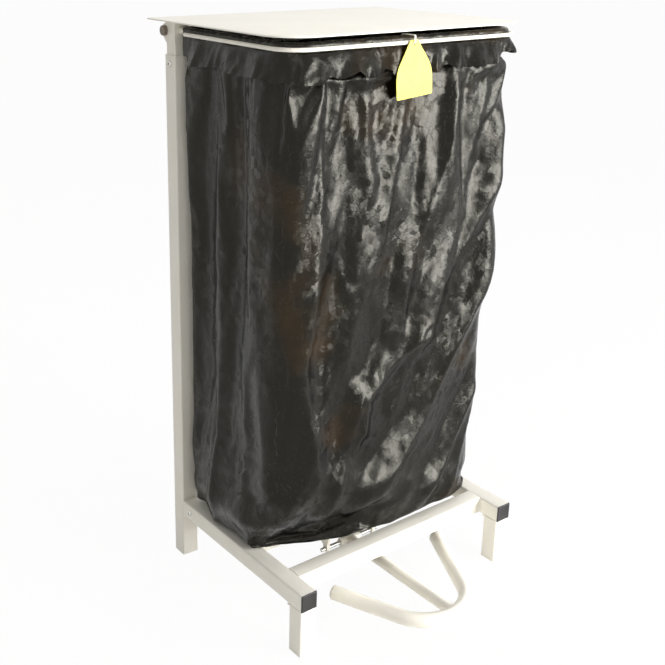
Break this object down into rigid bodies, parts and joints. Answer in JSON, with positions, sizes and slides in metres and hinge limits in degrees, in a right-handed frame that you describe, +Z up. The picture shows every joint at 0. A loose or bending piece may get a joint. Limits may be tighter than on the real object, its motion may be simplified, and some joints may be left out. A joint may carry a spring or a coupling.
{
  "type": "sack holder",
  "caption": "free-standing square-tube holder for a waste sack, with a hinged sheet lid that a foot pedal lifts through a lever, a push rod and a crank fork",
  "frame": {"origin": "on the floor, midway between the pedal's nose and the lid's rear edge, and midway between the uprights", "axes": "+X to the holder's right, -Y to its front where the pedal is, +Z up"},
  "size_m": [0.404, 0.4365, 0.785],
  "materials": {
    "powder_coat": "smooth white powder coat on steel",
    "black_plastic": "moulded black plug",
    "white_plastic": "moulded white plug",
    "cap_plastic": "moulded brown-grey cap",
    "screw_zinc": "zinc-plated pan-head screw",
    "nylon": "thin natural nylon loop",
    "bare_steel": "plated steel rod and fittings",
    "sack_film": "thin black polythene film",
    "tag_card": "pale yellow plastic card"
  },
  "bodies": {
    "frame": {"left_upright": "powder_coat", "left_side_rail": "powder_coat", "left_rail_stub": "powder_coat", "left_front_leg": "powder_coat", "left_top_leg": "powder_coat", "left_hinge_block": "powder_coat", "left_pivot_lug": "powder_coat", "left_rail_plug": "black_plastic", "left_rail_screw": "screw_zinc", "left_upright_screw": "screw_zinc", "left_hinge_cap": "cap_plastic", "left_tag_loop": "nylon", "right_upright": "powder_coat", "right_side_rail": "powder_coat", "right_rail_stub": "powder_coat", "right_front_leg": "powder_coat", "right_top_leg": "powder_coat", "right_hinge_block": "powder_coat", "right_pivot_lug": "powder_coat", "right_rail_plug": "black_plastic", "right_rail_screw": "screw_zinc", "right_upright_screw": "screw_zinc", "right_hinge_cap": "cap_plastic", "right_tag_loop": "nylon", "front_crossbar": "powder_coat", "middle_crossbar": "powder_coat", "rear_crossbar": "powder_coat", "sack_rim": "powder_coat", "rim_rear_rod": "powder_coat", "retaining_wire": "powder_coat", "hinge_rod": "bare_steel", "pivot_rod": "bare_steel", "sack": "sack_film"},
    "pedal": {"pedal_arm": "powder_coat", "pedal_loop": "powder_coat", "left_loop_plug": "white_plastic", "right_loop_plug": "white_plastic", "pivot_tube": "powder_coat", "lever_clevis": "bare_steel", "clevis_pin": "bare_steel"},
    "push_rod_body": {"push_rod": "bare_steel", "crank_pin": "bare_steel"},
    "lid": {"lid_sheet": "powder_coat", "left_lid_ear": "powder_coat", "right_lid_ear": "powder_coat", "crank_fork": "powder_coat"},
    "tag": {"sack_tag": "tag_card"}
  },
  "joints": [
    {"name": "pedal_hinge", "type": "hinge", "parent": "frame", "child": "pedal", "pos_m": [0, 0.0073, 0.035], "axis": [1, 0, 0], "range_deg": [0, 6.25]},
    {"name": "rod_pivot", "type": "hinge", "parent": "pedal", "child": "push_rod_body", "pos_m": [0, 0.1706, 0.035], "axis": [-1, 0, 0], "range_deg": [0, 6.3]},
    {"name": "lid_hinge", "type": "hinge", "parent": "frame", "child": "lid", "pos_m": [0, 0.1833, 0.771], "axis": [-1, 0, 0], "range_deg": [0, 70.2]},
    {"name": "tag_swing", "type": "hinge", "parent": "frame", "child": "tag", "pos_m": [-0.0064, -0.0828, 0.768], "axis": [-1, 0, 0], "range_deg": [0, 30]}
  ],
  "couplings": [
    {"joint": "rod_pivot", "follows": "pedal_hinge", "ratio": 1},
    {"joint": "lid_hinge", "follows": "pedal_hinge", "ratio": 11.2}
  ]
}
